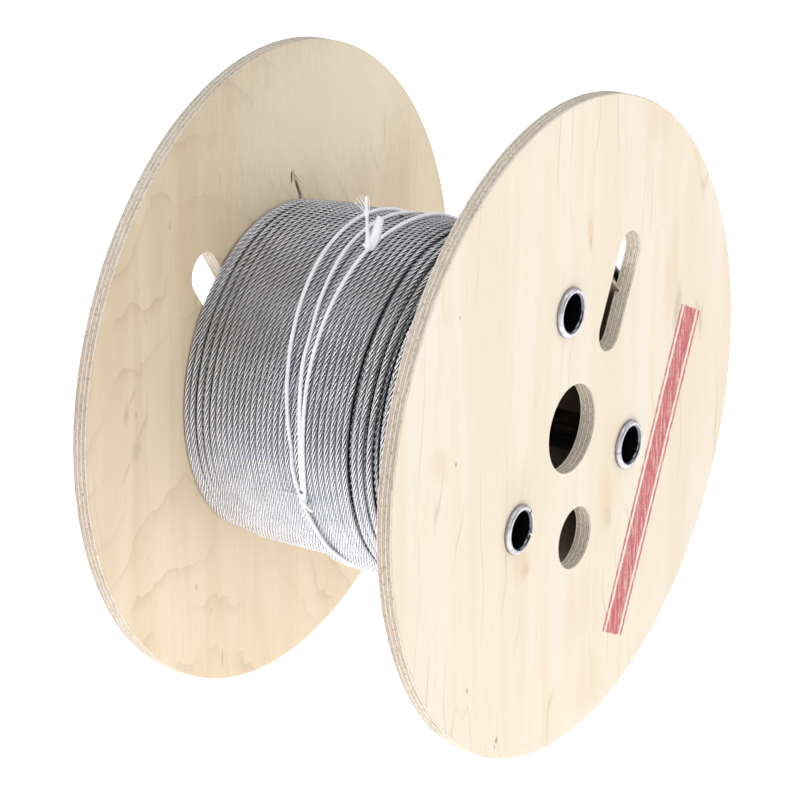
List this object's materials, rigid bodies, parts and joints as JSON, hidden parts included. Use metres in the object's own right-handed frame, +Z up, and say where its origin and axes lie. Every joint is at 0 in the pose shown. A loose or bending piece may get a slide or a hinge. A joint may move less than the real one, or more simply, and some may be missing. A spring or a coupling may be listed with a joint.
{
  "type": "wire rope reel",
  "caption": "Galvanized steel wire rope wound in layers on a plywood reel with steel tie tubes, tied with twine.",
  "frame": {"origin": "on the floor, midway between the flanges and below the reel's axis", "axes": "+X along the reel's axis towards the near flange, +Z up, +Y away from the viewer's side"},
  "size_m": [0.2244, 0.4, 0.3999],
  "materials": {
    "plywood_near": "bare birch plywood, sanded face",
    "plywood_far": "bare birch plywood",
    "fibreboard": "matt grey fibreboard",
    "tube_steel": "bright rolled steel",
    "galvanized_wire": "galvanized wire, satin",
    "twine": "white synthetic twine, frayed ends"
  },
  "bodies": {
    "root": {"flange_near": "plywood_near", "flange_far": "plywood_far", "barrel": "fibreboard", "tie_tube_1": "tube_steel", "tie_tube_2": "tube_steel", "tie_tube_3": "tube_steel", "wire_rope": "galvanized_wire", "twine": "twine"}
  },
  "joints": []
}
